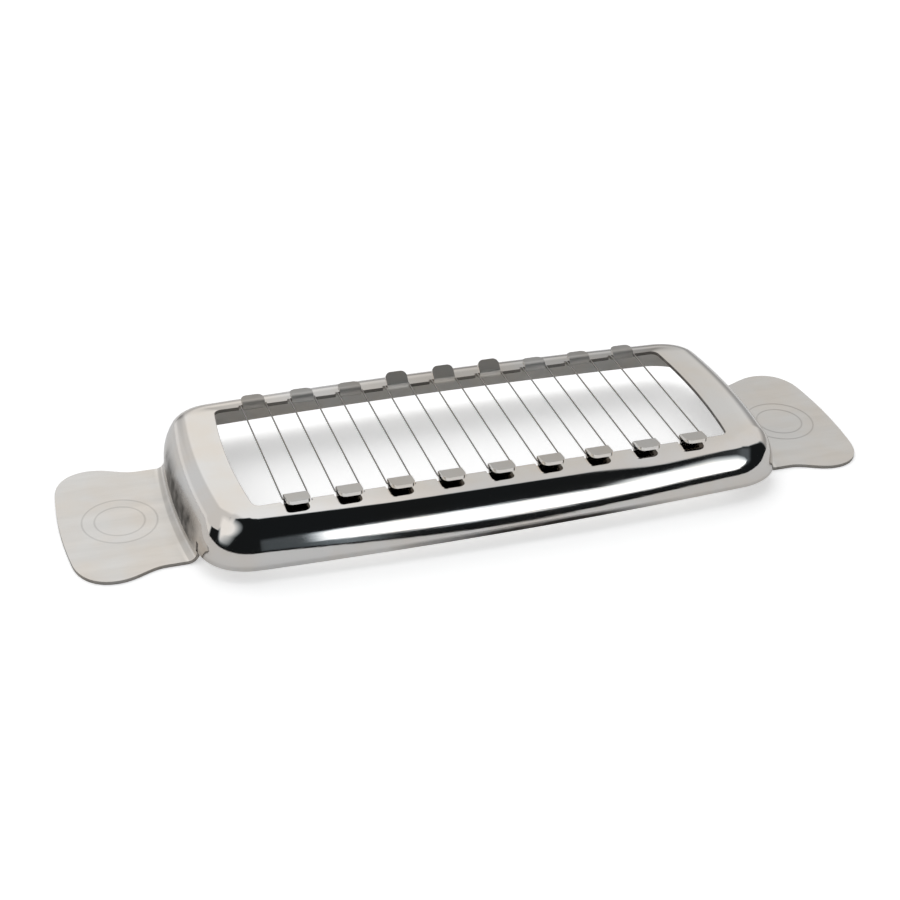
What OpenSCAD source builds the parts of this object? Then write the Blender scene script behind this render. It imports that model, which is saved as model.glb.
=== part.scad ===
// Egg slicer: one pressed sheet-steel frame and nine closed cutting-wire loops.
// Origin: centre of the rest plane under the window. +X along the length,
// +Y across the depth, +Z up. Millimetres.

/* [Frame] */
// Outside length of the body over its end walls, at the rest plane
body_len = 153.6; // [146:0.2:200]
// Outside depth of the body at the middle, at the rest plane
body_dep = 67.8; // [64:0.2:90]
// Height of the top face above the rest plane
body_h = 15; // [13:0.2:22]
// Sheet thickness
sheet_t = 0.9; // [0.6:0.1:1.4]
// Outside radius of the edge between the top face and the skirt
bullnose_r = 8; // [4:0.25:9]
// Height of the front skirt foot above the rest plane; the tool lies on its tongues
foot_rise = 3.7; // [1:0.1:4]
// Height of the shorter rear skirt foot above the rest plane
rear_foot = 5.1; // [4.7:0.1:6]
// Plan radius of the body corners at the rest plane
corner_r = 10.8; // [9.8:0.2:12]
// Plan radius of the slightly bowed long sides
side_bow_r = 1249.18; // [700:0.1:3000]

/* [Window] */
// Length of the window
window_len = 127.6; // [124:0.2:129]
// Depth of the window
window_dep = 45.4; // [40:0.2:48]
// Corner radius of the window
window_r = 2; // [0.5:0.25:4]
// Plan radius of the outward bowed short sides of the window
window_bow_r = 168; // [150:1:1000]

/* [Grips] */
// Length over both grip tongues
overall_len = 212; // [206:1:260]
// Width of a tongue at its neck
neck_w = 42.2; // [36:0.2:42.4]
// Largest width of a tongue
tongue_w = 48.8; // [45:0.2:60]
// Inside radius of the bend between end wall and tongue
bend_r = 2.2; // [1:0.1:3.5]
// Width of the relief slot at each side of the neck
slot_w = 0.8; // [0.6:0.1:1.2]
// Height of the relief slot
slot_h = 4.6; // [4:0.2:6]
// Distance of the thumb ring centre from the tongue tip
ring_in = 14.8; // [12:0.2:16]
// Radius of the thumb ring groove
ring_r = 9; // [5:0.25:10]
// Width of the thumb ring groove
ring_w = 0.7; // [0.4:0.1:1.5]
// Depth of the thumb ring groove
ring_deep = 0.15; // [0.1:0.05:0.3]

/* [Hooks] */
// Spacing of the wire runs; hooks stand at twice this spacing
wire_pitch = 6.5; // [6.2:0.05:6.8]
// Width of a hook
hook_w = 5.9; // [5.2:0.05:5.9]
// Clear height between top face and hook plate
hook_gap = 1; // [0.9:0.05:2]
// Length of a front hook plate beyond the window edge
front_plate = 4; // [2:0.1:4.6]
// Length of a rear hook plate beyond the window edge
rear_plate = 2.2; // [2:0.1:4]
// Corner radius of the hook plates
plate_r = 1.6; // [0.5:0.1:2.4]
// Upward lift of the front hook plates
front_lift = 6; // [0:1:12]
// Upward lift of the three middle rear hook plates
mid_lift = 40; // [0:1:50]
// Length of the three middle rear hook plates
mid_plate = 3.2; // [2:0.1:4]
// Width of the relief notch beside a hook root
notch_w = 0.8; // [0.4:0.1:1.2]
// Depth of the relief notch
notch_deep = 1; // [0.4:0.1:1.6]

/* [Wires] */
// Wire diameter
wire_d = 0.4; // [0.25:0.05:0.45]
// Centre-line bend radius where the wire turns into a hook
wire_bend = 0.35; // [0.3:0.05:0.4]
// Clearance between wire and hook
wire_clear = 0.1; // [0.05:0.05:0.2]

/* [Hidden] */
$fa = 4;
$fs = 0.35;
eps = 0.01;
hooks = 9;
half_len = body_len / 2;
half_dep = body_dep / 2;
win_y = window_dep / 2;
win_x = window_len / 2;
skirt_h = body_h - bullnose_r;
// corner circle tangent to the long-side arc and to the straight end wall
bow_y = side_bow_r - half_dep;
corner_x = half_len - corner_r;
corner_y = round(1e4 * (sqrt(pow(side_bow_r - corner_r, 2) - corner_x * corner_x) - bow_y)) / 1e4;
nw = neck_w / 2;
// bend between skirt and tongue
bend_z = sheet_t + bend_r;
// hook bend and wire run
hook_ri = hook_gap / 2;
hook_ro = hook_ri + sheet_t;
wire_z = body_h + hook_ri;
wire_end = win_y - hook_ri + wire_d / 2 + wire_clear;
wire_x = wire_pitch / 2;

// ---- section of the rail: x = 0 at the outside of the skirt, inward is negative ----
// quarter of a bent sheet about [cx, cz], open towards the signs of qx and qz
module quarter(cx, cz, r_out, qx, qz) {
    translate([cx, cz]) intersection() {
        difference() {
            circle(r_out, $fn = 96);
            circle(r_out - sheet_t, $fn = 96);
        }
        translate([qx < 0 ? -2 * r_out : 0, qz < 0 ? -2 * r_out : 0]) square(2 * r_out);
    }
}

module rail_section(flat, foot_z = foot_rise) {
    translate([-bullnose_r - flat, body_h - sheet_t]) square([flat, sheet_t]);
    quarter(-bullnose_r, skirt_h, bullnose_r, 1, 1);
    translate([-sheet_t, foot_z]) square([sheet_t, skirt_h - foot_z]);
}

// the end wall bends out into the tongue at its foot
module neck_section(flat) {
    rail_section(flat, bend_z);
    quarter(bend_r, bend_z, bend_r + sheet_t, -1, -1);
    translate([bend_r, 0]) square([1, sheet_t]);
}

// ---- body skin: bowed long sides, round corners, straight end walls, top plate ----
module side_wedge() {
    translate([0, 0, -1]) linear_extrude(body_h + 2)
        polygon([[0, -bow_y], for (s = [-1, 1]) [s * 1.05 * corner_x, 1.05 * (corner_y + bow_y) - bow_y]]);
}

module long_side() {
    intersection() {
        translate([0, -bow_y, 0]) rotate_extrude(angle = 10, start = 85, $fn = 1000)
            translate([side_bow_r, 0]) rail_section(half_dep - bullnose_r - win_y + 0.5);
        side_wedge();
    }
}

module corner() {
    difference() {
        translate([corner_x, corner_y, 0]) rotate_extrude(angle = 95, start = 0, $fn = 96)
            translate([corner_r, 0]) rail_section(corner_r - bullnose_r);
        side_wedge();
    }
}

module end_wall() {
    flat = half_len - bullnose_r - corner_x + 1;
    translate([half_len, 0, 0]) rotate([90, 0, 0]) {
        linear_extrude(neck_w, center = true) neck_section(flat);
        for (z = [-corner_y, nw]) translate([0, 0, z]) linear_extrude(corner_y - nw) rail_section(flat);
    }
}

// one short side of the window from its lower to its upper rounded corner
function round_pts(x, y, r, a0, a1, n) = [for (k = [0:n]) let (a = a0 + (a1 - a0) * k / n) [x + r * cos(a), y + r * sin(a)]];
bow_x = win_x - window_bow_r;
bow_a = asin((win_y - window_r) / (window_bow_r - window_r));
cut_x = bow_x + (window_bow_r - window_r) * cos(bow_a);
side_pts = concat(
    round_pts(cut_x, window_r - win_y, window_r, -90, -bow_a, 5),
    [for (k = [1:9]) let (a = bow_a * (k / 5 - 1)) [bow_x + window_bow_r * cos(a), window_bow_r * sin(a)]],
    round_pts(cut_x, win_y - window_r, window_r, bow_a, 90, 5));

module window_cut() {
    translate([0, 0, body_h - 2 * sheet_t]) linear_extrude(4 * sheet_t) {
        polygon(concat(side_pts, [for (p = side_pts) -p]));
        for (i = [0:hooks - 1], sx = [-1, 1], sy = [-1, 1])
            translate([hook_x(i) + sx * (hook_w + notch_w) / 2, sy * win_y])
                square([notch_w, 2 * notch_deep], center = true);
    }
}

// relief slots beside the tongue necks
module relief_slots() {
    for (sx = [-1, 1], sy = [-1, 1]) translate([sx * (half_len - 1), sy * (nw + slot_w / 2), 0]) {
        translate([-4, -slot_w / 2, -1]) cube([8, slot_w, 1 + slot_h - slot_w / 2]);
        translate([0, 0, slot_h - slot_w / 2]) rotate([0, 90, 0])
            cylinder(h = 8, d = slot_w, center = true, $fn = 24);
    }
}

module rim() {
    difference() {
        for (m = [0, 1]) {
            mirror([0, m, 0]) long_side();
            mirror([m, 0, 0]) end_wall();
            for (n = [0, 1]) mirror([m, 0, 0]) mirror([0, n, 0]) corner();
        }
        window_cut();
        relief_slots();
        translate([-half_len - 1, nw + slot_w / 2, -1]) cube([2 * half_len + 2, half_dep, 1 + rear_foot]);
    }
}

module top_plate() {
    difference() {
        translate([-corner_x, -win_y - 1, body_h - sheet_t])
            cube([2 * corner_x, 2 * win_y + 2, sheet_t]);
        window_cut();
    }
    for (i = [0:hooks - 1]) translate([hook_x(i), 0, body_h]) {
        translate([0, win_y, 0]) hook(rear_lift(i), abs(i - 4) <= 1 ? mid_plate : rear_plate);
        translate([0, -win_y, 0]) mirror([0, 1, 0]) hook(front_lift, front_plate);
    }
}

// ---- grip tongues ----
function bez(p, n) = [for (k = [1:n]) let (s = k / n, r = 1 - s)
    r * r * r * p[0] + 3 * r * r * s * p[1] + 3 * r * s * s * p[2] + s * s * s * p[3]];

tip = overall_len / 2;
root = half_len + bend_r + 0.5;
tw = tongue_w / 2;
edge_pts = concat(
    bez([[root, nw], [root + 1, nw], [root + 1.6, nw], [tip - 22.6, nw]], 2),
    bez([[tip - 22.6, nw], [tip - 18.2, nw], [tip - 15.4, tw], [tip - 10.4, tw]], 8),
    bez([[tip - 10.4, tw], [tip - 4.8, tw], [tip - 1.5, tw - 4], [tip - 0.9, tw - 9.4]], 9),
    bez([[tip - 0.9, tw - 9.4], [tip - 0.4, tw - 13.6], [tip, tw - 19], [tip, 0]], 5));

module tongue() {
    n = len(edge_pts);
    difference() {
        linear_extrude(sheet_t)
            polygon(concat([[root, -nw], [root, nw]], edge_pts,
                [for (k = [n - 2:-1:0]) [edge_pts[k][0], -edge_pts[k][1]]]));
        translate([tip - ring_in, 0, sheet_t - ring_deep]) difference() {
            cylinder(h = 1, r = ring_r + ring_w / 2, $fn = 96);
            translate([0, 0, -1]) cylinder(h = 3, r = ring_r - ring_w / 2, $fn = 96);
        }
    }
}

// ---- hooks: tabs of the same sheet folded up and back over the rail ----
function hook_x(i) = (i - (hooks - 1) / 2) * 2 * wire_pitch;

// section across the hook: x outward from the window edge, y up from the top face
module hook_section(lift, plate) {
    translate([0, hook_ri]) intersection() {
        difference() {
            circle(hook_ro, $fn = 96);
            circle(hook_ri, $fn = 96);
        }
        am = 180 + lift / 2;
        polygon([[0, 0], for (a = [90 + lift, am, 270]) [2 * hook_ro * cos(a), 2 * hook_ro * sin(a)]]);
    }
    translate([-eps, -sheet_t]) square([1, sheet_t]);
    translate([0, hook_ri]) rotate(lift) translate([-eps, hook_ri]) square([plate, sheet_t]);
}

module hook(lift, plate) {
    intersection() {
        rotate([90, 0, 90]) translate([0, 0, -hook_w / 2])
            linear_extrude(hook_w) hook_section(lift, plate);
        translate([0, 0, -2]) linear_extrude(8) {
            translate([-hook_w / 2, -3]) square([hook_w, 3 + plate * cos(lift) - plate_r]);
            translate([-hook_w / 2 + plate_r, -3]) square([hook_w - 2 * plate_r, 3 + plate * cos(lift) + 1]);
            for (sx = [-1, 1]) translate([sx * (hook_w / 2 - plate_r), plate * cos(lift) - plate_r])
                circle(plate_r, $fn = 32);
        }
    }
}

function rear_lift(i) = abs(i - 4) <= 1 ? mid_lift : (i == 0 || i == hooks - 1 ? 4 : 0);

module frame() {
    color([0.74, 0.73, 0.72]) union() {
        rim();
        top_plate();
        for (m = [0, 1]) mirror([m, 0, 0]) tongue();
    }
}

// ---- cutting wires: one closed loop round each opposite pair of hooks ----
module wire_loop(i) {
    run = wire_end - wire_bend;
    side = wire_x - wire_bend;
    color([0.55, 0.55, 0.56]) translate([hook_x(i), 0, wire_z]) union() {
        for (sx = [-1, 1]) translate([sx * wire_x, 0, 0]) rotate([90, 0, 0])
            cylinder(h = 2 * run, d = wire_d, center = true, $fn = 24);
        for (sy = [-1, 1]) translate([0, sy * wire_end, 0]) rotate([0, 90, 0])
            cylinder(h = 2 * side, d = wire_d, center = true, $fn = 24);
        for (mx = [0, 1], my = [0, 1]) mirror([mx, 0, 0]) mirror([0, my, 0])
            translate([side, run, 0]) rotate_extrude(angle = 90, $fn = 48)
                translate([wire_bend, 0]) circle(d = wire_d, $fn = 24);
    }
}

frame();
wire_loop(0);  // wire_1
wire_loop(1);  // wire_2
wire_loop(2);  // wire_3
wire_loop(3);  // wire_4
wire_loop(4);  // wire_5
wire_loop(5);  // wire_6
wire_loop(6);  // wire_7
wire_loop(7);  // wire_8
wire_loop(8);  // wire_9
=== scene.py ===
from math import acos, asin, cos, degrees, hypot, pi, radians, sin, sqrt

import bpy
from mathutils import Matrix, Vector


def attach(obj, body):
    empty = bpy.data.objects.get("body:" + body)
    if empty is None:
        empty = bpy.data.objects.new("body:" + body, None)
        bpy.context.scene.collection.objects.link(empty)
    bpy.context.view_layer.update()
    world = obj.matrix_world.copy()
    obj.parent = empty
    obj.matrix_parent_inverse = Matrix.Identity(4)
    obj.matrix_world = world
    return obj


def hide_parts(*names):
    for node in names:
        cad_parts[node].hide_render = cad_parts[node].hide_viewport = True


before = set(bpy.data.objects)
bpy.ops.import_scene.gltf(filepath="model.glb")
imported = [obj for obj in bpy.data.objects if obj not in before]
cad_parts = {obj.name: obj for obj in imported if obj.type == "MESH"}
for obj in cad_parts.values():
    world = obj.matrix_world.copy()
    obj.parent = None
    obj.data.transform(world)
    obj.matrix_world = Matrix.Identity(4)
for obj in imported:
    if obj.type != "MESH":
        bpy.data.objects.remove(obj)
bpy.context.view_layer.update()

# ---- The viewpoint ----
# A long lens about 46 cm away, looking down by 32 degrees from the front left,
# and rolled by 2.5 degrees.
MM = 0.001                                    # sizes are in millimetres unless said otherwise
PICTURE, SENSOR, NEAREST = 900, 36, 0.01      # frame in pixels, sensor in mm, nearest point in metres
LENS_FOCUS = 1742.4                           # focal length in pixels of that frame
LENS_TURN, LENS_HEIGHT, LENS_ROLL = radians(-19.85), radians(32.39), radians(2.52)
LENS_AWAY, LENS_RIGHT, LENS_UP = 457.5, 4.74, -5.52

back = Vector((sin(LENS_TURN) * cos(LENS_HEIGHT), -cos(LENS_TURN) * cos(LENS_HEIGHT), sin(LENS_HEIGHT)))
level = Vector((cos(LENS_TURN), sin(LENS_TURN), 0))
upright = back.cross(level)
right = level * cos(LENS_ROLL) + upright * sin(LENS_ROLL)
above = upright * cos(LENS_ROLL) - level * sin(LENS_ROLL)
stand = (back * LENS_AWAY - right * LENS_RIGHT - above * LENS_UP) * MM
camera = bpy.data.objects.new("camera", bpy.data.cameras.new("camera"))
camera.data.sensor_width = SENSOR
camera.data.lens = LENS_FOCUS / PICTURE * SENSOR
camera.data.clip_start = NEAREST
camera.matrix_world = Matrix.Translation(stand) @ Matrix((right, above, back)).transposed().to_4x4()
bpy.context.scene.collection.objects.link(camera)
bpy.context.scene.camera = camera
bpy.context.scene.view_settings.view_transform = "Standard"


# ---- The pressed frame ----
# One blank of polished stainless sheet, pressed to a flat rim round the window, a
# bullnose edge, a short skirt and two bent-out grip tongues. The wire hooks are
# tabs of the same sheet, cut free at the window edge and folded back.
SHEET = 0.9
TOP = 15.0                                    # top face above the rest plane
HALF_LEN = {1: 78.3, -1: 77.5}                # middle of the right and of the left end wall
HALF_DEP = 33.88                              # middle of each long side
SIDE_BOW, END_BOW = 1249.2, 168.0             # plan radii of the long sides and of the end walls
SIDE_END, CORNER_Y = 62.5, 20.6               # the corner curve runs from the end of the long side to here
CORNER_TURN, CORNER_STEPS = radians(86), 22
FOOT, FOOT_RISE = 3.7, 0.0105                 # front skirt, a little higher to the right
REAR_FOOT, REAR_DIP = 5.1, 0.36               # rear skirt, and the fall of the rear rim towards the outside
END_REACH, REAR_REACH = 7.1, 7.2              # the flat rim ends this far inside the skirt
FRONT_REACH, FRONT_REACH_MORE = 8.3, 0.5      # the same at the middle of the front, and the extra at its ends
PLUMB = radians(88)                           # turn of the end and rear skirts, measured from the top face
LEAN_END, LEAN_MID = 87, 75.6                 # the front skirt's turn at its ends and its middle, in degrees
LEAN_SPAN, LEAN_FALL = 66, 2.2                # how the lean fades towards the ends
LIP, LIP_X, LIP_SPAN, LIP_START = 0.02, 7, 36, 0.45  # faint outward lip along the front foot
TURN, ARC_ROWS, LEAN_ROWS = radians(62), 12, 9  # the bullnose turns to 62 degrees, then eases into the skirt
LEAN_CROWD = 0.75                             # below 1, the skirt's rows lie closer near the foot
WIN_X, WIN_Y, WIN_R, WIN_BOW = 63.8, 22.7, 2.0, 168.0
WIN_TURN = asin((WIN_Y - WIN_R) / (WIN_BOW - WIN_R))
WIN_CUT = WIN_X - WIN_BOW + (WIN_BOW - WIN_R) * cos(WIN_TURN)  # the window's corner curve starts at this x
WIN_SPREAD = 0.985                            # share of the window's bowed end that the end stations take
WIN_STEPS = 5                                 # stations between a window corner and the first hook
NECK, SLOT, BEND = 21.1, 0.8, 2.2             # half width of the neck, relief slot, bend radius
END_STEPS, BEND_STEPS, TONGUE_ROWS = 60, 7, 36
BEND_ROW = ARC_ROWS + LEAN_ROWS - 1           # the neck leaves the skirt at this row
SLOT_ROW = BEND_ROW - 2                       # the relief slot is open below this row
TIP, TONGUE = 106.0, 24.4                     # reach and half width of a tongue
NECK_END, WIDEST = TIP - 22.6, TIP - 10.4     # its side edge starts to widen, and is widest
ROUND_END = (TIP - 0.9, TONGUE - 9.4)         # its rounded corner ends here
HOOKS, HOOK_PITCH, HOOK_HALF, HOOK_GAP = 9, 13.0, 2.95, 1.0
FRONT_LIFT, OUTER_LIFT, MID_LIFT = 6, 4, 40   # degrees that the plates stand up from the rim
FRONT_PLATE, REAR_PLATE, MID_PLATE, PLATE_R = 4.0, 2.2, 3.2, 1.6
NOTCH_W, NOTCH_DEEP = 0.8, 1.0                # notch at each side of a hook
FOLD_STEPS, PLATE_STEPS, PLATE_EVEN = 10, 12, 2


def blend(a, b, s):
    """From a, where s is 0, to b, where it is 1."""
    return a + (b - a) * s


def unit(x, y):
    """The same direction, one long."""
    return x / hypot(x, y), y / hypot(x, y)


def hook_x(i):
    return (i - (HOOKS - 1) / 2) * HOOK_PITCH


def wall_x(y, sx):
    """Outside of the bowed end wall; the right one sits a little further out."""
    return HALF_LEN[sx] - END_BOW + sqrt(END_BOW ** 2 - y * y)


def rail_rows(reach, foot, lean, trim=None, flare=0):
    """Rows (inward offset, height) of two joined arcs: the tight bullnose, then a long one down to the
    foot. trim cuts the skirt short at a height; flare turns its last two rows outwards."""
    drop = TOP - foot
    a, b, c, d = sin(TURN), sin(lean) - sin(TURN), 1 - cos(TURN), cos(TURN) - cos(lean)
    r_long = (drop - c * reach / a) / (d - b * c / a)
    r_tight = (reach - b * r_long) / a
    rows = []
    for k in range(ARC_ROWS + 1):
        t = TURN * k / ARC_ROWS
        rows.append((r_tight * sin(t) - reach, TOP - r_tight * (1 - cos(t))))
    u, z = rows[-1]
    end = lean if trim is None else acos(cos(TURN) - (z - trim) / r_long)
    for k in range(1, LEAN_ROWS + 1):
        t = blend(TURN, end, (k / LEAN_ROWS) ** LEAN_CROWD)
        rows.append((u + r_long * (sin(t) - sin(TURN)), z - r_long * (cos(TURN) - cos(t))))
    push = [0] * (len(rows) - 2) + [LIP_START * flare, flare]
    return [(u - flare + extra, z) for (u, z), extra in zip(rows, push)]


END_FRONT = rail_rows(END_REACH, FOOT, PLUMB)
END_REAR = rail_rows(END_REACH, FOOT, PLUMB, trim=REAR_FOOT)
END_NECK = END_FRONT[:BEND_ROW] + [(0, SHEET + BEND)] + END_FRONT[BEND_ROW + 1:]


def section(x, sy):
    """Rows of a long side at x. The front skirt leans most at the middle; the rear one is plumb and short."""
    if sy > 0:
        return rail_rows(REAR_REACH, FOOT, PLUMB, trim=REAR_FOOT)
    middle = max(0, 1 - (abs(x) / LEAN_SPAN) ** LEAN_FALL)
    reach = FRONT_REACH + FRONT_REACH_MORE * (1 - middle)
    lean = radians(blend(LEAN_END, LEAN_MID, middle))
    flare = LIP * max(0, 1 - ((x - LIP_X) / LIP_SPAN) ** 2)
    return rail_rows(reach, FOOT + FOOT_RISE * x, lean, flare=flare)


def column(window, outside, outward, rows, hook=None, neck=None, notch=False, slot=False, dip=0):
    """One station of the pressing. hook is (hook number, place across it) and neck the place across the
    neck, both from -1 to 1; notch and slot mark a gap before the next station."""
    return dict(window=window, outside=outside, outward=outward, rows=rows,
                hook=hook, neck=neck, notch=notch, slot=slot, dip=dip)


def side_column(window_x, x, sy, **marks):
    """Station on a long side, from window_x at the window edge to x on the outside."""
    y = sqrt(SIDE_BOW ** 2 - x * x) - (SIDE_BOW - HALF_DEP)
    outward = (x / SIDE_BOW, sy * sqrt(1 - (x / SIDE_BOW) ** 2))
    dip = REAR_DIP if sy > 0 else 0
    return column((window_x, sy * WIN_Y), (x, sy * y), outward, section(x, sy), dip=dip, **marks)


def side_columns(sy):
    """Stations along one long side, from -X to +X."""
    middle = []
    for i in range(HOOKS):
        x = hook_x(i)
        middle.append((x - HOOK_HALF - NOTCH_W, None, True))
        middle += [(x + HOOK_HALF * t / 4, (i, t / 4), t == 4) for t in range(-4, 5)]
        bare = HOOK_PITCH - 2 * (HOOK_HALF + NOTCH_W)
        start = x + HOOK_HALF + NOTCH_W
        middle += [(start + bare * t / 4, None, False) for t in range(4 if i < HOOKS - 1 else 1)]
    first = middle[0][0]
    shares = [k / WIN_STEPS for k in range(WIN_STEPS)]
    ends = [(blend(WIN_CUT, -first, s), blend(SIDE_END, -first, s)) for s in shares]
    return ([side_column(-window_x, -x, sy) for window_x, x in ends]
            + [side_column(x, x, sy, hook=hook, notch=notch) for x, hook, notch in middle]
            + [side_column(window_x, x, sy) for window_x, x in reversed(ends)])


HOLD_LONG, HOLD_EASE = 1.9, 0.8               # the front corners keep the long side's section further round


def corner_columns(sx, sy):
    """Stations round one corner, drawn at +X +Y, from the long side to the end wall."""
    ry = sqrt(SIDE_BOW ** 2 - SIDE_END * SIDE_END) - SIDE_BOW + HALF_DEP - CORNER_Y
    last_turn = asin((NECK + SLOT - CORNER_Y) / ry)
    rx = (wall_x(NECK + SLOT, sx) - SIDE_END) / cos(last_turn)
    end_rows, side_rows = END_REAR if sy > 0 else END_FRONT, section(sx * SIDE_END, sy)
    out = []
    for k in range(1, CORNER_STEPS + 1):
        a = blend(CORNER_TURN, last_turn, k / CORNER_STEPS)
        b = blend(pi / 2, WIN_TURN, k / CORNER_STEPS)
        dip = REAR_DIP * (a / CORNER_TURN) ** 2 if sy > 0 else 0
        hold = a / CORNER_TURN
        if sy < 0:
            hold = min(1, max(0, (a - last_turn) / (CORNER_TURN - last_turn) * HOLD_LONG)) ** HOLD_EASE
        rows = [(blend(e[0], s[0], hold), blend(e[1], s[1], hold)) for e, s in zip(end_rows, side_rows)]
        out.append(column((WIN_CUT + WIN_R * cos(b), WIN_Y - WIN_R + WIN_R * sin(b)),
                          (SIDE_END + rx * cos(a), CORNER_Y + ry * sin(a)), unit(cos(a) / rx, sin(a) / ry),
                          rows, slot=k == CORNER_STEPS, dip=dip))
    return out


def end_columns(sx):
    """Stations down one end wall from +Y to -Y, drawn at +X."""
    out = []
    for k in range(END_STEPS + 1):
        t = 1 - 2 * k / END_STEPS
        a = WIN_TURN * t * WIN_SPREAD
        y = NECK * t
        out.append(column((WIN_X - WIN_BOW + WIN_BOW * cos(a), WIN_BOW * sin(a)), (wall_x(y, sx), y),
                          (sqrt(1 - (y / END_BOW) ** 2), y / END_BOW), END_NECK, neck=t, slot=k == END_STEPS))
    return out


def turned(columns, fx, fy):
    """The same stations mirrored to another corner or end."""
    out = []
    for c in columns:
        d = dict(c)
        for key in ("window", "outside", "outward"):
            d[key] = (c[key][0] * fx, c[key][1] * fy)
        if d["neck"] is not None:
            d["neck"] = d["neck"] * fy
        out.append(d)
    return out


# clockwise seen from above: rear side +X wards, +X end, front side -X wards, -X end
loop = side_columns(1) + corner_columns(1, 1) + end_columns(1)
low_right = turned(corner_columns(1, -1), 1, -1)[::-1]
low_right[0]["slot"] = False
loop += low_right
front_side = side_columns(-1)[::-1]
# in a reversed run each notch mark moves to the station before its gap
for c, mark in zip(front_side, [c["notch"] for c in front_side[1:]] + [False]):
    c["notch"] = mark
loop += front_side + turned(corner_columns(-1, -1), -1, -1)
# known fault: this end's slot mark stays on its first station, so in the left end wall the front slot is
# one station too wide and the rear slot is closed
loop += turned(end_columns(-1), -1, 1)[::-1]
top_left = turned(corner_columns(-1, 1), -1, 1)[::-1]
top_left[0]["slot"] = False
loop += top_left

# The polish attribute is 1 where the bends are bright, 0 on flat sheet and below 0 on and in a fold;
# there it gives painted shade on the upper side and a painted highlight on the cut rims. The dull
# attribute darkens and roughens: a dulled line along the cut window edge, and painted shade elsewhere.
# Both are fixed in the surface; the foot line and the wall shade are painted reflections of dark
# things that the steel mirrors.
BURR = 0.2                                    # dulled line along the cut window edge
RIM_STOPS = (0.33, 0.66)                      # two more rows across the flat rim
SHINE_ROWS = 4                                # rows over which the bullnose turns bright
LINE, LINE_LEAST, LINE_X = 2.3, 0.3, 7        # painted reflection: a dark line above the front foot: most, least, and its middle
LINE_FLAT, LINE_FADE = 1.3, 34                # and how it fades to both sides
WALL_SHADE, WALL_SHADE_TOP, WALL_SHADE_SOFT = 1.7, 11.6, 4  # painted reflection: a dark patch low on the end walls
NECK_FADE = 4                                 # both patch and bend fade towards the neck's sides
# painted reflection: the end walls' dark patch carries on round each tongue's bend, from BEND_SHADE to
# ROOT_SHADE; the tongue itself is a little duller, at TONGUE_SHADE
BEND_SHINE, BEND_SHADE, ROOT_SHADE, TONGUE_SHADE, ROOT_ROWS = 0.6, 0.6, 0.3, 0.22, 4
# polish below 0 marks each hook's fold and plate, for painted shade on the upper side and a painted highlight
# on the cut rims; PLATE_SHADE is painted shade on the six low rear plates
FOLD_SHINE, PLATE_SHINE, PLATE_SHADE = -1.0, -0.6, 0.6

points, faces, polish_and_painted_light, dull_and_painted_shade = [], [], [], []


def add(x, y, z, shine, shade=0.0):
    """One more point of the mesh, with its polish and its darkening: dulling at the cut window edge,
    painted shade and painted reflections elsewhere; gives its number.
    """
    points.append((x * MM, y * MM, z * MM))
    polish_and_painted_light.append(shine)
    dull_and_painted_shade.append(shade)
    return len(points) - 1


def rail_points(c):
    """The points of one station: the flat rim from the window edge, then the rows down to the foot."""
    (wx, wy), (ox, oy), (nx, ny) = c["window"], c["outside"], c["outward"]
    u0 = c["rows"][0][0]
    tx, ty = ox + nx * u0, oy + ny * u0
    far = hypot(tx - wx, ty - wy)
    ids = []
    for d in (0, BURR, NOTCH_DEEP, *(blend(NOTCH_DEEP, far, stop) for stop in RIM_STOPS)):
        x, y, z = wx + (tx - wx) * d / far, wy + (ty - wy) * d / far, TOP - c["dip"] * d / far
        ids.append(add(x, y, z, 0.0, 1.0 if d == 0 else 0.0))
    on_neck = c["neck"] is not None
    inside = 1 - c["neck"] ** NECK_FADE if on_neck else 0
    line = 0
    # painted reflection: a dark line in the front skirt's last rows, strongest near its middle
    if oy < 0 and not on_neck:
        line = max(LINE_LEAST, LINE * min(1, LINE_FLAT - abs(ox - LINE_X) / LINE_FADE))
    for k, (u, z) in enumerate(c["rows"]):
        # painted reflection: a dark patch low on the end walls, beside each tongue's bend
        shade = inside * WALL_SHADE * min(1, max(0, (WALL_SHADE_TOP - z) / WALL_SHADE_SOFT))
        if k >= BEND_ROW:
            shade += line
        dip = c["dip"] * max(0, 1 - k / ARC_ROWS)
        ids.append(add(ox + nx * u, oy + ny * u, z - dip, min(1, k / SHINE_ROWS), shade))
    return ids


rails = [rail_points(c) for c in loop]
RIM_ROWS = 3 + len(RIM_STOPS)
for j, c in enumerate(loop):
    m = (j + 1) % len(loop)
    both_neck = c["neck"] is not None and loop[m]["neck"] is not None
    for r in range(RIM_ROWS + ARC_ROWS + LEAN_ROWS):
        cut = c["notch"] and r <= 1
        cut = cut or c["slot"] and r >= RIM_ROWS + SLOT_ROW
        cut = cut or both_neck and r >= RIM_ROWS + BEND_ROW
        if not cut:
            faces.append((rails[j][r], rails[m][r], rails[m][r + 1], rails[j][r + 1]))


def add_strip(before, row):
    """Faces between two rows of points."""
    for a, b, c, d in zip(before, before[1:], row[1:], row):
        faces.append((a, b, c, d))
    return row


def bezier(p, s):
    """Point at s, from 0 to 1, on the curve with the four control points p."""
    r = 1 - s
    weights = (r * r * r, 3 * r * r * s, 3 * r * s * s, s * s * s)
    return tuple(sum(w * point[k] for w, point in zip(weights, p)) for k in (0, 1))


def evenly(run, n):
    """n + 1 points, evenly spaced along a run of points."""
    tiny = 1e-9
    length = [0]
    for p, q in zip(run, run[1:]):
        length.append(length[-1] + hypot(q[0] - p[0], q[1] - p[1]))
    out = []
    for k in range(n + 1):
        want = length[-1] * k / n
        i = min(max(i for i in range(len(run)) if length[i] <= want + tiny), len(run) - 2)
        s = (want - length[i]) / max(tiny, length[i + 1] - length[i])
        out.append((blend(run[i][0], run[i + 1][0], s), blend(run[i][1], run[i + 1][1], s)))
    return out


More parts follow.
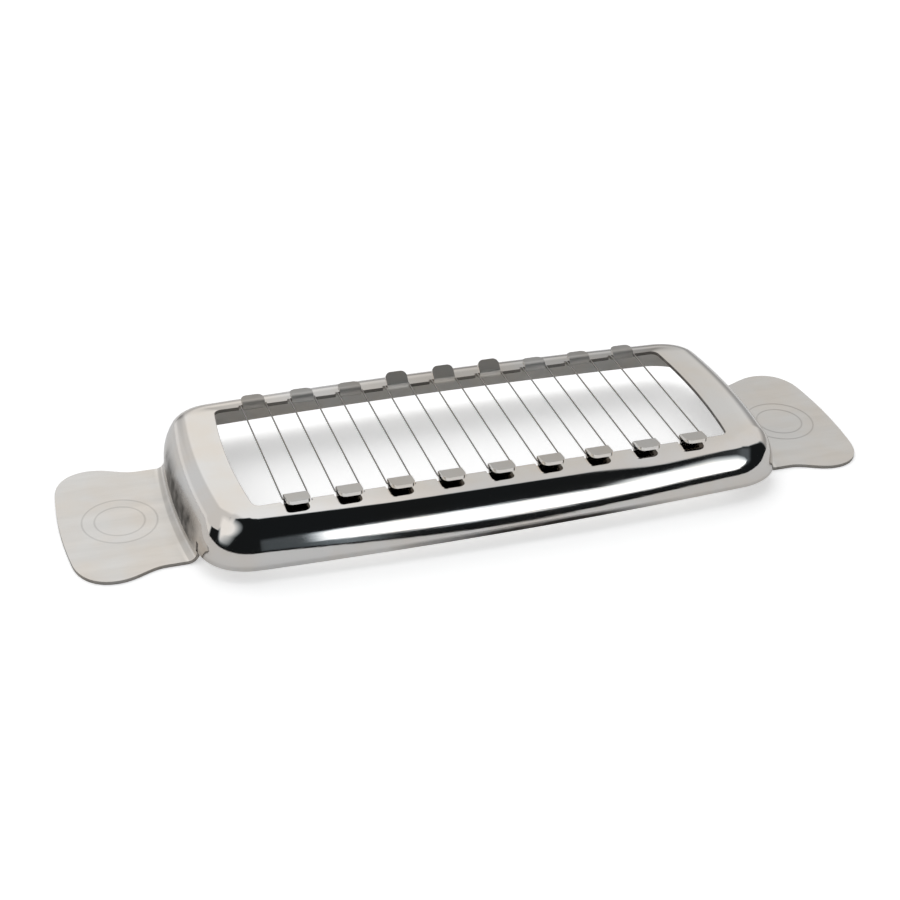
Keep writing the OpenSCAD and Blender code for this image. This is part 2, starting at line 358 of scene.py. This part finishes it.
def tongue_outline(n_side, n_tip, sx):
    """Tongue outline drawn at +X: side edge up to the middle of its rounded corner, then half of the tip."""
    root, fine = wall_x(NECK, sx) + BEND, 40
    curves = [[(root, NECK), (root + 1, NECK), (root + 2, NECK), (NECK_END, NECK)],
              [(NECK_END, NECK), (TIP - 18.2, NECK), (TIP - 15.4, TONGUE), (WIDEST, TONGUE)],
              [(WIDEST, TONGUE), (TIP - 4.8, TONGUE), (TIP - 1.5, TONGUE - 4), ROUND_END],
              [ROUND_END, (TIP - 0.4, TONGUE - 13.6), (TIP, TONGUE - 19), (TIP, 0)]]
    run = [bezier(p, k / fine) for p in curves for k in range(fine)] + [(TIP, 0)]
    cut = fine * 5 // 2
    return evenly(run[:cut + 1], n_side), evenly(run[cut:], n_tip)


def tongue(stations, sx):
    """Bend and grip tongue carried on from the neck stations, in loop order."""
    half = (len(stations) - 1) // 2
    side, half_tip = tongue_outline(TONGUE_ROWS, half, sx)
    root_x = wall_x(NECK, sx) + BEND
    row = [rails[j][RIM_ROWS + BEND_ROW] for j in stations]
    across = [loop[j]["neck"] for j in stations]
    # painted reflection: the bend is darkest next to the end wall, fading towards the neck's sides
    for k in range(1, BEND_STEPS + 1):
        a, s = radians(90 * k / BEND_STEPS), k / BEND_STEPS
        z, shine, shade = SHEET + BEND - BEND * sin(a), BEND_SHINE * (1 - s), blend(BEND_SHADE, ROOT_SHADE, s)
        row = add_strip(row, [add(sx * (wall_x(NECK * t, sx) + BEND - BEND * cos(a)), NECK * t, z, shine,
                                  shade * (1 - t ** NECK_FADE)) for t in across])

    def tip_at(t):
        s = (1 - abs(t)) * half
        i = min(int(s), half - 1)
        x = blend(half_tip[i][0], half_tip[i + 1][0], s - i)
        y = blend(half_tip[i][1], half_tip[i + 1][1], s - i)
        return x, y if t >= 0 else -y

    corner_x, corner_y = half_tip[0]
    for r in range(1, TONGUE_ROWS + 1):
        v = r / TONGUE_ROWS
        edge_x, edge_y = side[r]
        shade = blend(ROOT_SHADE, TONGUE_SHADE, min(1, r / ROOT_ROWS))
        ids = []
        for t in across:
            bx, by = wall_x(NECK * t, sx) + BEND, NECK * t
            px, py = tip_at(t)
            x = (1 - v) * bx + v * px + edge_x - ((1 - v) * root_x + v * corner_x)
            y = (1 - v) * by + v * py + edge_y * t - ((1 - v) * NECK * t + v * corner_y * t)
            ids.append(add(sx * x, y, SHEET, 0.0, shade))
        row = add_strip(row, ids)


for sx in (1, -1):
    tongue([j for j, c in enumerate(loop) if c["neck"] is not None and c["outside"][0] * sx > 0], sx)


def hook(i, sy):
    """Tab folded up and back over the rail, carried on from the window edge."""
    stations = [j for j, c in enumerate(loop) if c["hook"] and c["hook"][0] == i and c["window"][1] * sy > 0]
    raised = sy > 0 and abs(i - HOOKS // 2) <= 1
    if sy < 0:
        lift, plate = radians(FRONT_LIFT), FRONT_PLATE
    elif raised:
        lift, plate = radians(MID_LIFT), MID_PLATE
    else:
        lift, plate = radians(OUTER_LIFT if i in (0, HOOKS - 1) else 0), REAR_PLATE
    ri = HOOK_GAP / 2
    section_rows = []
    for k in range(1, FOLD_STEPS + 1):
        a = radians(blend(270, 90 + degrees(lift), k / FOLD_STEPS))
        section_rows.append((ri * cos(a), ri + ri * sin(a), HOOK_HALF, FOLD_SHINE))
    u0, w0 = section_rows[-1][:2]
    for k in range(1, PLATE_STEPS + 1):
        # the first steps are even, the others crowd towards the rounded end
        quarter = radians(90 * (k - PLATE_EVEN) / (PLATE_STEPS - PLATE_EVEN))
        share = k / PLATE_STEPS if k <= PLATE_EVEN else blend(PLATE_EVEN / PLATE_STEPS, 1, sin(quarter))
        d = plate * share
        over = max(0, d - (plate - PLATE_R))
        half = HOOK_HALF - PLATE_R + sqrt(max(0, PLATE_R ** 2 - over ** 2))
        section_rows.append((u0 + d * cos(lift), w0 + d * sin(lift), half, PLATE_SHINE))
    # painted shade: the plates of the six low rear hooks are darker
    shade = PLATE_SHADE if sy > 0 and not raised else 0
    row = [rails[j][0] for j in stations]
    for u, w, half, shine in section_rows:
        ids = [add(hook_x(i) + loop[j]["hook"][1] * half, sy * (WIN_Y + u), TOP + w, shine, shade)
               for j in stations]
        add_strip(ids, row)
        row = ids


for i in range(HOOKS):
    hook(i, 1)
    hook(i, -1)

EDGE_ROUND, EDGE_ANGLE = 0.14, radians(50)    # the cut edges are broken
mesh = bpy.data.meshes.new("pressed_frame")
mesh.from_pydata(points, [], faces)
for name, values in (("polish_and_painted_light", polish_and_painted_light), ("dull_and_painted_shade", dull_and_painted_shade)):
    mesh.attributes.new(name, "FLOAT", "POINT").data.foreach_set("value", values)
mesh.update()
pressed = bpy.data.objects.new("pressed_frame", mesh)
bpy.context.scene.collection.objects.link(pressed)
thicken = dict(thickness=SHEET * MM, offset=-1, use_even_offset=True,
               material_offset=1, material_offset_rim=2)
soften = dict(width=EDGE_ROUND * MM, segments=2, limit_method="ANGLE", angle_limit=EDGE_ANGLE,
              harden_normals=True)
for kind, settings in (("SOLIDIFY", thicken), ("BEVEL", soften)):
    modifier = pressed.modifiers.new(kind.lower(), kind)
    for key, value in settings.items():
        setattr(modifier, key, value)
mesh.shade_smooth()


class Wave:
    """A shader socket with the arithmetic that the finishes use."""
    def __init__(self, tree, socket):
        self.tree, self.socket = tree, socket

    def math(self, op, *others, swap=False, clamp=False):
        node = self.tree.nodes.new("ShaderNodeMath")
        node.operation, node.use_clamp = op, clamp
        values = [self, *others]
        if swap:
            values = values[::-1]
        for slot, value in zip(node.inputs, values):
            if isinstance(value, Wave):
                self.tree.links.new(value.socket, slot)
            else:
                slot.default_value = value
        return Wave(self.tree, node.outputs[0])

    def __add__(self, other):
        return self.math("ADD", other)

    def __sub__(self, other):
        return self.math("SUBTRACT", other)

    def __mul__(self, other):
        return self.math("MULTIPLY", other)

    def __truediv__(self, other):
        return self.math("DIVIDE", other)

    def __radd__(self, other):
        return self.math("ADD", other)

    def __rmul__(self, other):
        return self.math("MULTIPLY", other)

    def __rsub__(self, other):
        return self.math("SUBTRACT", other, swap=True)

    def size(self):
        return self.math("ABSOLUTE")

    def at_least(self, other):
        return self.math("MAXIMUM", other)

    def at_most(self, other):
        return self.math("MINIMUM", other)

    def clamped(self):
        return self.math("ADD", 0.0, clamp=True)


class Finish:
    """A node tree under construction: material or world."""
    def __init__(self, owner):
        owner.use_nodes = True
        self.tree = owner.node_tree
        self.tree.nodes.clear()

    def node(self, kind, settings=None, **inputs):
        """A socket is given by its name, or where names repeat by the letter i and its number."""
        n = self.tree.nodes.new(kind)
        for key, value in (settings or {}).items():
            setattr(n, key, value)
        for name, value in inputs.items():
            slot = n.inputs[int(name[1:]) if name[0] == "i" else name.replace("_", " ")]
            if isinstance(value, Wave):
                self.tree.links.new(value.socket, slot)
            else:
                slot.default_value = value
        return n

    def out(self, n, name=0):
        return Wave(self.tree, n.outputs[name])

    def mix(self, share, a, b, how="MIX"):
        """The colour a where the share is 0, and b where it is 1."""
        n = self.node("ShaderNodeMix", {"data_type": "RGBA", "blend_type": how}, i0=share, i6=a, i7=b)
        return self.out(n, 2)


RING_X, RING_OUT, RING_IN, RING_W = 91.2, 9.3, 6.2, 0.35   # two thumb rings round a point on each tongue
RING_DEEP, RING_DARK = 14.0, 0.18
CLOUD = ((55, 55, 55), 3.0)                   # scale and detail of each noise: broad clouds,
SMEAR, HAIR = ((30, 260, 260), 4.0), ((90, 3600, 3600), 2.0)  # and smears and hairlines along X
NOISE_ROUGH, NOISE_MEAN = 0.6, 0.5
STAIN, STAIN_FROM, STAIN_GAIN = (1.0, 0.955, 0.905, 1), 0.38, 4.0  # faint warm stains
DULL_AND_SHADED_STEEL = (0.06, 0.055, 0.05, 1)
DULL_AND_SHADE_TONE, DULL_AND_SHADE_STREAK, DULL_ROUGH = 0.55, 0.9, 0.22
# painted shade inside each hook's fold and under its plate, from polish below 0
FOLD_GAIN, FOLD_DARK = -3.0, 0.85
SMEAR_ROUGH, SMEAR_DEEP, CLOUD_DEEP, RELIEF = 0.8, 1.2, 3.0, 0.25


def steel(name, plain, shiny, grain, scuff, pick=None, upper=False):
    """Stainless steel. plain and shiny are (red, green, blue, roughness); pick turns the polish attribute
    into the share of the shiny one. grain is the relief in metres. The upper side of the sheet has the
    thumb rings, their grooves darkened as painted shade, and painted shade inside a fold and under a
    hook's plate, where polish is below 0."""
    material = bpy.data.materials.new(name)
    f = Finish(material)
    where = f.out(f.node("ShaderNodeTexCoord"), "Object")
    raw = f.out(f.node("ShaderNodeAttribute", {"attribute_name": "polish_and_painted_light"}), "Fac")
    bright = (pick(raw) if pick else raw).clamped()
    dulled_and_shaded = f.out(f.node("ShaderNodeAttribute", {"attribute_name": "dull_and_painted_shade"}), "Fac")

    def noise(scale, detail):
        place = f.out(f.node("ShaderNodeMapping", Vector=where, Scale=scale))
        n = f.node("ShaderNodeTexNoise", Vector=place, Scale=1.0, Detail=detail, Roughness=NOISE_ROUGH)
        return f.out(n, "Fac")

    cloud, smear, hair = noise(*CLOUD), noise(*SMEAR), noise(*HAIR)
    rough = plain[3] + (shiny[3] - plain[3]) * bright + (cloud - NOISE_MEAN) * scuff
    rough = rough + (smear - NOISE_MEAN) * (scuff * SMEAR_ROUGH) + dulled_and_shaded * DULL_ROUGH
    # the dull attribute darkens towards dark steel: dulling along the cut window edge, painted shade and
    # painted reflections elsewhere
    dark = dulled_and_shaded * (DULL_AND_SHADE_TONE + DULL_AND_SHADE_STREAK * (smear - NOISE_MEAN))
    marks = hair + smear * SMEAR_DEEP + cloud * CLOUD_DEEP
    if upper:
        # painted shade: dark inside a fold and under a hook's plate
        dark = dark + (raw * FOLD_GAIN).at_most(FOLD_DARK).at_least(0.0)
        spot = f.node("ShaderNodeSeparateXYZ", Vector=where)
        x, y = f.out(spot, 0).size() - RING_X * MM, f.out(spot, 1)
        radius = (x * x + y * y).math("SQRT") / MM
        # the ring grooves are pressed in by the relief and darkened as painted shade
        for ring in (RING_OUT, RING_IN):
            groove = (1 - (radius - ring).size() / RING_W).at_least(0.0)
            marks, dark = marks - RING_DEEP * groove, dark + RING_DARK * groove
    tone = f.mix(bright, (*plain[:3], 1), (*shiny[:3], 1))
    stains = (cloud - STAIN_FROM).math("MULTIPLY", STAIN_GAIN, clamp=True)
    tone = f.mix(dark, f.mix(stains, tone, STAIN, "MULTIPLY"), DULL_AND_SHADED_STEEL)
    relief = f.out(f.node("ShaderNodeBump", Strength=RELIEF, Distance=grain, Height=marks))
    shader = f.node("ShaderNodeBsdfPrincipled", Base_Color=tone, Metallic=1.0, Roughness=rough, Normal=relief)
    f.node("ShaderNodeOutputMaterial", Surface=f.out(shader))
    return material


mesh.materials.append(steel("polished_sheet", (0.76, 0.745, 0.72, 0.08), (0.77, 0.76, 0.75, 0.05),
                            0.00001, 0.05, upper=True))
mesh.materials.append(steel("satin_underside", (0.45, 0.44, 0.42, 0.32), (0.74, 0.73, 0.71, 0.42),
                            0.00003, 0.16, pick=Wave.size))
# painted highlight: where polish is below 0, on the cut rims of the hook plates, the edge takes the much
# paler colour
mesh.materials.append(steel("cut_edge", (0.50, 0.485, 0.465, 0.50), (0.95, 0.94, 0.92, 0.12),
                            0.00003, 0.15, pick=lambda raw: raw * -5.0))
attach(pressed, "root")
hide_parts("frame")


# ---- The cutting wires ----
# Nine closed loops of thin hard-drawn steel wire, each sprung round a hook at the
# front and the hook opposite, so that it crosses the window twice.
WIRE, WIRE_BEND, WIRE_CLEAR, WIRE_HALF = 0.4, 0.35, 0.1, 3.25
WIRE_Z = TOP + HOOK_GAP / 2
WIRE_END = WIN_Y - HOOK_GAP / 2 + WIRE / 2 + WIRE_CLEAR
WIRE_ROUND, WIRE_SIDES = 10, 16               # steps in each bend and round the wire


def loop_tree(material):
    """Rounded rectangle swept into a wire, moved along X by Place."""
    tree = bpy.data.node_groups.new("wire_loop", "GeometryNodeTree")
    sizes = {"Half width": WIRE_HALF, "Half length": WIRE_END, "Bend radius": WIRE_BEND, "Thickness": WIRE,
             "Height": WIRE_Z, "Place": 0.0}
    for name, value in sizes.items():
        socket = tree.interface.new_socket(name=name, in_out="INPUT", socket_type="NodeSocketFloat")
        socket.default_value = value * MM
    tree.interface.new_socket(name="Geometry", in_out="OUTPUT", socket_type="NodeSocketGeometry")
    given = tree.nodes.new("NodeGroupInput")

    def node(kind, **inputs):
        """A new node, its sockets set to a link or a value."""
        n = tree.nodes.new(kind)
        for name, value in inputs.items():
            slot = n.inputs[int(name[1:]) if name[0] == "i" else name.replace("_", " ")]
            if isinstance(value, bpy.types.NodeSocket):
                tree.links.new(value, slot)
            else:
                slot.default_value = value
        return n

    def scaled(name, factor):
        n = node("ShaderNodeMath", i0=given.outputs[name], i1=factor)
        n.operation = "MULTIPLY"
        return n.outputs[0]

    path = node("GeometryNodeCurvePrimitiveQuadrilateral",
                Width=scaled("Half width", 2), Height=scaled("Half length", 2))
    bent = node("GeometryNodeFilletCurve", Curve=path.outputs[0], Radius=given.outputs["Bend radius"])
    bent.mode = "POLY"
    bent.inputs["Count"].default_value = WIRE_ROUND
    ring = node("GeometryNodeCurvePrimitiveCircle", Resolution=WIRE_SIDES, Radius=scaled("Thickness", 0.5))
    sweep = node("GeometryNodeCurveToMesh", Curve=bent.outputs[0], Profile_Curve=ring.outputs[0])
    spot = node("ShaderNodeCombineXYZ", i0=given.outputs["Place"], i2=given.outputs["Height"])
    placed = node("GeometryNodeTransform", Geometry=sweep.outputs[0], Translation=spot.outputs[0])
    smooth = node("GeometryNodeSetShadeSmooth", i0=placed.outputs[0])
    real = node("GeometryNodeRealizeInstances", i0=smooth.outputs[0])
    dressed = node("GeometryNodeSetMaterial", i0=real.outputs[0], Material=material)
    node("NodeGroupOutput", i0=dressed.outputs[0])
    return tree


WIRE_COLOUR = (0.32, 0.31, 0.30, 0.24)
wire_tree = loop_tree(steel("drawn_wire", WIRE_COLOUR, WIRE_COLOUR, 0.00001, 0.06))
place_id = next(item.identifier for item in wire_tree.interface.items_tree if item.name == "Place")
for i in range(HOOKS):
    seed = bpy.data.objects.new("seed", bpy.data.meshes.new("seed"))
    bpy.context.scene.collection.objects.link(seed)
    modifier = seed.modifiers.new("loop", "NODES")
    modifier.node_group = wire_tree
    modifier[place_id] = hook_x(i) * MM
    made = bpy.data.meshes.new_from_object(seed.evaluated_get(bpy.context.evaluated_depsgraph_get()))
    seed.modifiers.clear()
    bpy.data.objects.remove(seed)
    wire = bpy.data.objects.new(f"cutting_wire_{i + 1}", made)
    made.name = wire.name
    bpy.context.scene.collection.objects.link(wire)
    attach(wire, "root")
    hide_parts(f"wire_{i + 1}")


# ---- The table and the studio light ----
# A white table that runs on into a white background for the camera. The steel
# mirrors a studio instead: a white wall behind and overhead, a bright panel at
# the front left, and a dark room in front with a strip light low in it.
TABLE_SIZE, TABLE_WHITE, TABLE_GLOOM = 8, (0.93, 0.93, 0.93, 1), (0.01, 0.01, 0.01, 1)  # size in metres
TABLE_LIFT = 0.46                             # the table's own light, for the camera only
GLOOM_FROM, GLOOM_SOFT = 0.22, 0.04           # metres in front, where the steel sees the table turn dark
bpy.ops.mesh.primitive_plane_add(size=TABLE_SIZE)
floor = bpy.context.object
floor.name = "white_table"
table = bpy.data.materials.new("white_table")
f = Finish(table)
look = f.node("ShaderNodeLightPath")
spot = f.node("ShaderNodeSeparateXYZ", Vector=f.out(f.node("ShaderNodeTexCoord"), "Object"))
paper = f.node("ShaderNodeBsdfDiffuse", Color=TABLE_WHITE)
lifted = f.node("ShaderNodeBsdfPrincipled", Base_Color=TABLE_WHITE, Roughness=1.0, Specular_IOR_Level=0.0,
                Emission_Color=(1, 1, 1, 1), Emission_Strength=TABLE_LIFT)
gloom = f.node("ShaderNodeBsdfDiffuse", Color=TABLE_GLOOM)
near = f.node("ShaderNodeMixShader", i0=f.out(look, "Is Camera Ray"), i1=f.out(paper), i2=f.out(lifted))
far_off = ((0 - f.out(spot, 1) - GLOOM_FROM) / GLOOM_SOFT).clamped()
mirrored = far_off * f.out(look, "Is Glossy Ray")
whole = f.node("ShaderNodeMixShader", i0=mirrored, i1=f.out(near), i2=f.out(gloom))
f.node("ShaderNodeOutputMaterial", Surface=f.out(whole))
floor.data.materials.append(table)

WALL, WALL_MIDDLE, WALL_RIGHT = 0.70, 0.25, 0.08          # strengths of the light from each area
WALL_LOW, WALL_LOW_LEFT = 0.40, 0.12
ROOM, STRIP, HAZE, HAZE_LOW, HAZE_RIGHT = 0.012, 1.8, 0.075, 0.25, 0.11
COOL = (0.80, 0.92, 1.0, 1)                               # tint of the dark room

world = bpy.data.worlds.new("studio")
bpy.context.scene.world = world
f = Finish(world)
way = f.node("ShaderNodeSeparateXYZ", Vector=f.out(f.node("ShaderNodeTexCoord"), "Generated"))
# each from -1 to 1: how far a direction points to the right, to the front, to the left and up
to_right, to_front, up = f.out(way, 0), 0 - f.out(way, 1), f.out(way, 2)
to_left = 0 - to_right


def step(value, edge, soft):
    """0 below the edge and 1 above it, over a soft width."""
    return ((value - (edge - soft)) / (2 * soft)).clamped()


def within(value, low, high, soft):
    """1 between low and high, and 0 outside."""
    return step(value, low, soft) * (1 - step(value, high, soft))


# the white wall: brightest in the middle, grey near the table
low_part = 1 - step(up, edge=0.34, soft=0.12)
left_part = 1 - step(to_right, edge=-0.30, soft=0.10)
wall = WALL + WALL_MIDDLE * within(to_right, low=-0.07, high=0.24, soft=0.05)
wall = wall + WALL_RIGHT * step(to_right, edge=0.44, soft=0.03) - WALL_LOW * low_part * (1 - left_part)
wall = wall + WALL_LOW_LEFT * left_part * (1 - step(up, edge=0.18, soft=0.03))
# the bright panel, round the direction that these three shares point in
PANEL_UP, PANEL_LEFT, PANEL_FRONT = 0.58, 0.80, 0.10
panel = step(PANEL_UP * up - PANEL_LEFT * to_right + PANEL_FRONT * to_front, edge=0.81, soft=0.08)
panel = panel * step(up, edge=0.09, soft=0.05) * (1 - step(to_left - 0.25 * up, edge=0.905, soft=0.03))
panel = panel * step(to_front + to_right, edge=-0.60, soft=0.08)
# the dark room: its edge overhead moves to and fro from left to right
edge = ((to_right - 0.06) * 2.0).clamped().at_most(0.34) - 0.15
edge = edge + 0.37 * step(to_left, edge=0.36, soft=0.14) * step(up, edge=0.30, soft=0.06)
edge = edge + 0.24 * within(to_right, low=0.397, high=0.452, soft=0.02)
edge = edge - 0.09 * step(to_right, edge=0.52, soft=0.04) - 0.18 * step(to_right, edge=0.78, soft=0.10)
room = step(to_front - edge, edge=0.0, soft=0.035) * (1 - panel)
# the strip light: both edges rise to the right, and the upper one gets softer
in_front = step(to_front, edge=0.2, soft=0.1)
lower = 0.085 + ((to_right - 0.42) * 0.95).at_least(0.0)
rise = (to_right - 0.38).at_least(0.0)
upper = (0.255 + rise * (1.6 + 27 * rise)).at_most(1.648 - 2.2 * to_right)
strip = step(to_right, edge=0.163, soft=0.010) * step(up, edge=lower, soft=0.015)
strip = strip * (1 - step(up, edge=upper, soft=(0.02 + 1.6 * rise).at_most(0.15))) * in_front
# three faint patches of haze: at the strip's left end, below that end, and high on the right
haze = HAZE * within(to_right, low=0.09, high=0.163, soft=0.02) * within(up, low=0.0, high=0.265, soft=0.03)
low_haze = HAZE_LOW * within(to_right, low=0.165, high=0.20, soft=0.02)
haze = haze + low_haze * within(up, low=-0.02, high=0.09, soft=0.02)
haze = haze + HAZE_RIGHT * within(to_right, low=0.50, high=0.72, soft=0.04) * step(up, edge=0.22, soft=0.05)
strength = (wall * (1 - panel) + panel) * (1 - room) + room * (ROOM + haze * in_front + strip * STRIP)
from_camera = f.out(f.node("ShaderNodeLightPath"), "Is Camera Ray")
tint = f.mix(room * (1 - strip) * (1 - from_camera), (1, 1, 1, 1), COOL)
sky = f.node("ShaderNodeBackground", Color=tint, Strength=strength * (1 - from_camera) + from_camera)
f.node("ShaderNodeOutputWorld", Surface=f.out(sky))

KEY_SIZE, KEY_ENERGY, KEY_PLACE = 1.2, 4.5, (-0.1, 0.5, 1.3)  # metres, watts
key = bpy.data.objects.new("key", bpy.data.lights.new("key", "AREA"))
key.data.shape, key.data.size, key.data.size_y = "RECTANGLE", KEY_SIZE, KEY_SIZE
key.data.energy = KEY_ENERGY
key.location = KEY_PLACE
key.rotation_euler = (Vector((0, 0, 0)) - key.location).to_track_quat("-Z", "Y").to_euler()
key.visible_glossy = False
bpy.context.scene.collection.objects.link(key)
